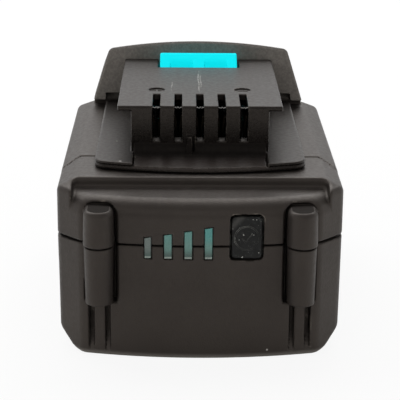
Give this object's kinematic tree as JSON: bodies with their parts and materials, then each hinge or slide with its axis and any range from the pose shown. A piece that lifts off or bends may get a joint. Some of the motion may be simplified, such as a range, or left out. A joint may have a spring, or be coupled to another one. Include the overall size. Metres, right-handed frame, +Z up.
{
  "type": "power tool battery pack",
  "caption": "Slide-on battery pack for cordless tools: rail head with contact slots, sprung release latch, charge bars with a test button, and round cells in a screwed two-part shell.",
  "frame": {"origin": "under the middle of the base, between the screw towers of both ends", "axes": "+X to the right seen from the display, +Y from the display towards the latch pad, +Z up"},
  "size_m": [0.077, 0.115, 0.0688],
  "materials": {
    "shell": "fine spark-textured warm black",
    "latch": "satin cyan",
    "light_guide": "smoky translucent",
    "button": "soft matt black",
    "steel": "zinc plated",
    "nickel": "satin nickel",
    "contact": "bright",
    "circuit_board": "green solder mask",
    "cell_sleeve": "shrink sleeve",
    "holder": "moulded black",
    "card": "fibre card",
    "foam": "closed-cell foam",
    "lamp": "white",
    "ribbon": "flat cable",
    "bead": "epoxy"
  },
  "bodies": {
    "pack": {"lower_case": "shell", "upper_case": "shell", "rail_head": "shell", "latch_spring_left": "steel", "latch_spring_right": "steel", "light_guide": "light_guide", "indicator_board": "circuit_board", "indicator_lamps": "lamp", "tact_switch": "lamp", "main_board": "circuit_board", "power_transistors": "holder", "board_link": "ribbon", "thermistor": "bead", "terminal_holder": "holder", "contact_1": "contact", "contact_2": "contact", "contact_3": "contact", "contact_4": "contact", "contact_5": "contact", "cell_1": "cell_sleeve", "cell_2": "cell_sleeve", "cell_3": "cell_sleeve", "cell_4": "cell_sleeve", "cell_5": "cell_sleeve", "cell_6": "cell_sleeve", "cell_7": "cell_sleeve", "cell_8": "cell_sleeve", "cell_9": "cell_sleeve", "cell_10": "cell_sleeve", "cell_holder_left": "holder", "cell_holder_right": "holder", "insulator_left": "card", "insulator_right": "card", "foam_pad": "foam", "cell_strip_1": "nickel", "cell_strip_2": "nickel", "cell_strip_3": "nickel", "cell_strip_4": "nickel", "cell_strip_5": "nickel", "cell_strip_6": "nickel", "lead_positive": "nickel", "lead_negative": "nickel", "case_screws": "steel", "rail_screws": "steel", "board_screws": "steel"},
    "latch": {"release_latch": "latch"},
    "button": {"test_button": "button"},
    "plunger": {"switch_plunger": "holder"}
  },
  "joints": [
    {"name": "latch_press", "type": "slide", "parent": "pack", "child": "latch", "axis": [0, 0, -1], "range_m": [0, 0.004], "stiffness_N_per_m": 1500, "springref_m": -0.004, "deforming": ["latch_spring_left", "latch_spring_right"]},
    {"name": "button_press", "type": "slide", "parent": "pack", "child": "button", "axis": [0, 1, 0], "range_m": [0, 0.0006], "stiffness_N_per_m": 1500, "springref_m": -0.0008},
    {"name": "plunger_press", "type": "slide", "parent": "pack", "child": "plunger", "axis": [0, 1, 0], "range_m": [0, 0.0003]}
  ],
  "couplings": [
    {"joint": "plunger_press", "follows": "button_press", "ratio": 0.5}
  ]
}
